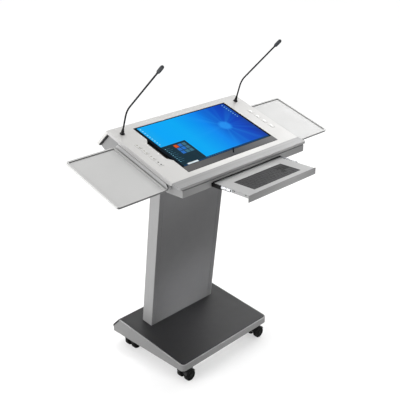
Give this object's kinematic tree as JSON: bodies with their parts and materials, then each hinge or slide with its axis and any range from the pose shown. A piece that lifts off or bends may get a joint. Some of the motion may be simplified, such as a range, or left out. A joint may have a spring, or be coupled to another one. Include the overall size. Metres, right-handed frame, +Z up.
{
  "type": "lectern stand",
  "caption": "Wheeled multimedia lectern: leaning column on a wedge base with casters, sloped touch-screen console, gooseneck microphones, folding side shelves and a pull-out keyboard drawer.",
  "frame": {"origin": "on the floor, at the middle of the plan outline", "axes": "+Z up; +X to the speaker's right; -Y towards the speaker, +Y towards the audience"},
  "size_m": [1.1614, 0.6962, 1.3108],
  "materials": {
    "light_paint": "satin powder coat, very light warm grey",
    "shelf_paint": "satin powder coat, very light grey",
    "silver_paint": "satin silver-grey powder coat with a fine metallic fleck",
    "dark_paint": "semi-gloss dark grey lacquer",
    "base_paint": "satin charcoal powder coat",
    "brushed_trim": "brushed along its length, clear anodised",
    "black_plastic": "fine-textured black moulding",
    "screen_glass": "polished cover glass over a lit panel",
    "keyboard_plastic": "dark grey moulded keys",
    "key_plastic": "silver-white moulded keycap with small dark marks",
    "microphone_black": "black-coated gooseneck and foam-black head",
    "zinc": "bright zinc plate",
    "tyre": "black caster tread"
  },
  "bodies": {
    "stand": {"base_tray": "silver_paint", "base_top_plate": "base_paint", "power_inlet": "black_plastic", "caster_front_left_plate": "zinc", "caster_front_right_plate": "zinc", "caster_rear_left_plate": "zinc", "caster_rear_right_plate": "zinc", "column_shell": "silver_paint", "column_front_panel": "dark_paint", "column_rear_cover": "silver_paint", "console_body": "silver_paint", "console_top_cover": "light_paint", "console_front_trim": "brushed_trim", "console_rear_panel": "light_paint", "console_rear_gasket": "black_plastic", "display_glass": "screen_glass", "display_module": "black_plastic", "mic_left_base": "microphone_black", "mic_right_base": "microphone_black", "shelf_rail_left": "silver_paint", "shelf_rail_right": "silver_paint", "slide_outer_left": "zinc", "slide_outer_right": "zinc"},
    "drawer": {"drawer_tray": "silver_paint", "drawer_fascia": "brushed_trim", "keyboard": "keyboard_plastic", "slide_inner_left": "zinc", "slide_inner_right": "zinc"},
    "slide_middles": {"slide_middle_left": "zinc", "slide_middle_right": "zinc"},
    "slide_cages": {"slide_cage_left": "black_plastic", "slide_cage_right": "black_plastic"},
    "shelf_left": {"shelf_left": "shelf_paint"},
    "shelf_right": {"shelf_right": "shelf_paint"},
    "mic_left_lower": {"mic_left_neck_lower": "microphone_black"},
    "mic_left_upper": {"mic_left_neck_upper": "microphone_black", "mic_left_head": "microphone_black"},
    "mic_right_lower": {"mic_right_neck_lower": "microphone_black"},
    "mic_right_upper": {"mic_right_neck_upper": "microphone_black", "mic_right_head": "microphone_black"},
    "key_left_1": {"key_left_1": "key_plastic"},
    "key_left_2": {"key_left_2": "key_plastic"},
    "key_left_3": {"key_left_3": "key_plastic"},
    "key_left_4": {"key_left_4": "key_plastic"},
    "key_right_1": {"key_right_1": "key_plastic"},
    "key_right_2": {"key_right_2": "key_plastic"},
    "key_right_3": {"key_right_3": "key_plastic"},
    "key_right_4": {"key_right_4": "key_plastic"},
    "caster_front_left_swivel": {"caster_front_left_fork": "black_plastic"},
    "caster_front_left_wheel_1": {"caster_front_left_wheel_1": "tyre"},
    "caster_front_left_wheel_2": {"caster_front_left_wheel_2": "tyre"},
    "caster_front_right_swivel": {"caster_front_right_fork": "black_plastic"},
    "caster_front_right_wheel_1": {"caster_front_right_wheel_1": "tyre"},
    "caster_front_right_wheel_2": {"caster_front_right_wheel_2": "tyre"},
    "caster_rear_left_swivel": {"caster_rear_left_fork": "black_plastic"},
    "caster_rear_left_wheel_1": {"caster_rear_left_wheel_1": "tyre"},
    "caster_rear_left_wheel_2": {"caster_rear_left_wheel_2": "tyre"},
    "caster_rear_right_swivel": {"caster_rear_right_fork": "black_plastic"},
    "caster_rear_right_wheel_1": {"caster_rear_right_wheel_1": "tyre"},
    "caster_rear_right_wheel_2": {"caster_rear_right_wheel_2": "tyre"}
  },
  "joints": [
    {"name": "drawer_slide", "type": "slide", "parent": "stand", "child": "drawer", "axis": [0, -1, 0], "range_m": [-0.167, 0]},
    {"name": "slide_middles_slide", "type": "slide", "parent": "stand", "child": "slide_middles", "axis": [0, -1, 0], "range_m": [-0.0835, 0]},
    {"name": "slide_cages_slide", "type": "slide", "parent": "stand", "child": "slide_cages", "axis": [0, -1, 0], "range_m": [-0.04175, 0]},
    {"name": "shelf_left_hinge", "type": "hinge", "parent": "stand", "child": "shelf_left", "pos_m": [-0.3626, 0.01814, 0.92949], "axis": [0, -0.9519, -0.3064], "range_deg": [0, 90]},
    {"name": "shelf_right_hinge", "type": "hinge", "parent": "stand", "child": "shelf_right", "pos_m": [0.3626, 0.01814, 0.92949], "axis": [0, 0.9519, 0.3064], "range_deg": [0, 90]},
    {"name": "mic_left_lean", "type": "hinge", "parent": "stand", "child": "mic_left_lower", "pos_m": [-0.312, 0.15802, 1.04648], "axis": [1, 0, 0], "range_deg": [-15, 15]},
    {"name": "mic_left_bend", "type": "hinge", "parent": "mic_left_lower", "child": "mic_left_upper", "pos_m": [-0.312, 0.13606, 1.11473], "axis": [1, 0, 0], "range_deg": [-27, 40]},
    {"name": "mic_right_lean", "type": "hinge", "parent": "stand", "child": "mic_right_lower", "pos_m": [0.312, 0.15802, 1.04648], "axis": [1, 0, 0], "range_deg": [-15, 15]},
    {"name": "mic_right_bend", "type": "hinge", "parent": "mic_right_lower", "child": "mic_right_upper", "pos_m": [0.312, 0.13606, 1.11473], "axis": [1, 0, 0], "range_deg": [-27, 40]},
    {"name": "key_left_1_press", "type": "slide", "parent": "stand", "child": "key_left_1", "axis": [0, 0.3064, -0.9519], "range_m": [0, 0.0012], "stiffness_N_per_m": 300, "springref_m": -0.003},
    {"name": "key_left_2_press", "type": "slide", "parent": "stand", "child": "key_left_2", "axis": [0, 0.3064, -0.9519], "range_m": [0, 0.0012], "stiffness_N_per_m": 300, "springref_m": -0.003},
    {"name": "key_left_3_press", "type": "slide", "parent": "stand", "child": "key_left_3", "axis": [0, 0.3064, -0.9519], "range_m": [0, 0.0012], "stiffness_N_per_m": 300, "springref_m": -0.003},
    {"name": "key_left_4_press", "type": "slide", "parent": "stand", "child": "key_left_4", "axis": [0, 0.3064, -0.9519], "range_m": [0, 0.0012], "stiffness_N_per_m": 300, "springref_m": -0.003},
    {"name": "key_right_1_press", "type": "slide", "parent": "stand", "child": "key_right_1", "axis": [0, 0.3064, -0.9519], "range_m": [0, 0.0012], "stiffness_N_per_m": 300, "springref_m": -0.003},
    {"name": "key_right_2_press", "type": "slide", "parent": "stand", "child": "key_right_2", "axis": [0, 0.3064, -0.9519], "range_m": [0, 0.0012], "stiffness_N_per_m": 300, "springref_m": -0.003},
    {"name": "key_right_3_press", "type": "slide", "parent": "stand", "child": "key_right_3", "axis": [0, 0.3064, -0.9519], "range_m": [0, 0.0012], "stiffness_N_per_m": 300, "springref_m": -0.003},
    {"name": "key_right_4_press", "type": "slide", "parent": "stand", "child": "key_right_4", "axis": [0, 0.3064, -0.9519], "range_m": [0, 0.0012], "stiffness_N_per_m": 300, "springref_m": -0.003},
    {"name": "caster_front_left_swivel", "type": "hinge", "parent": "stand", "child": "caster_front_left_swivel", "pos_m": [-0.199, -0.06, 0.045], "axis": [0, 0, 1], "continuous": true},
    {"name": "caster_front_left_roll_1", "type": "hinge", "parent": "caster_front_left_swivel", "child": "caster_front_left_wheel_1", "pos_m": [-0.217, -0.08, 0.025], "axis": [0, 1, 0], "continuous": true},
    {"name": "caster_front_left_roll_2", "type": "hinge", "parent": "caster_front_left_swivel", "child": "caster_front_left_wheel_2", "pos_m": [-0.217, -0.04, 0.025], "axis": [0, 1, 0], "continuous": true},
    {"name": "caster_front_right_swivel", "type": "hinge", "parent": "stand", "child": "caster_front_right_swivel", "pos_m": [0.199, -0.06, 0.045], "axis": [0, 0, 1], "continuous": true},
    {"name": "caster_front_right_roll_1", "type": "hinge", "parent": "caster_front_right_swivel", "child": "caster_front_right_wheel_1", "pos_m": [0.217, -0.08, 0.025], "axis": [0, 1, 0], "continuous": true},
    {"name": "caster_front_right_roll_2", "type": "hinge", "parent": "caster_front_right_swivel", "child": "caster_front_right_wheel_2", "pos_m": [0.217, -0.04, 0.025], "axis": [0, 1, 0], "continuous": true},
    {"name": "caster_rear_left_swivel", "type": "hinge", "parent": "stand", "child": "caster_rear_left_swivel", "pos_m": [-0.199, 0.2667, 0.045], "axis": [0, 0, 1], "continuous": true},
    {"name": "caster_rear_left_roll_1", "type": "hinge", "parent": "caster_rear_left_swivel", "child": "caster_rear_left_wheel_1", "pos_m": [-0.217, 0.2467, 0.025], "axis": [0, 1, 0], "continuous": true},
    {"name": "caster_rear_left_roll_2", "type": "hinge", "parent": "caster_rear_left_swivel", "child": "caster_rear_left_wheel_2", "pos_m": [-0.217, 0.2867, 0.025], "axis": [0, 1, 0], "continuous": true},
    {"name": "caster_rear_right_swivel", "type": "hinge", "parent": "stand", "child": "caster_rear_right_swivel", "pos_m": [0.199, 0.2667, 0.045], "axis": [0, 0, 1], "continuous": true},
    {"name": "caster_rear_right_roll_1", "type": "hinge", "parent": "caster_rear_right_swivel", "child": "caster_rear_right_wheel_1", "pos_m": [0.217, 0.2467, 0.025], "axis": [0, 1, 0], "continuous": true},
    {"name": "caster_rear_right_roll_2", "type": "hinge", "parent": "caster_rear_right_swivel", "child": "caster_rear_right_wheel_2", "pos_m": [0.217, 0.2867, 0.025], "axis": [0, 1, 0], "continuous": true}
  ],
  "couplings": [
    {"joint": "slide_middles_slide", "follows": "drawer_slide", "ratio": 0.5},
    {"joint": "slide_cages_slide", "follows": "drawer_slide", "ratio": 0.25}
  ]
}
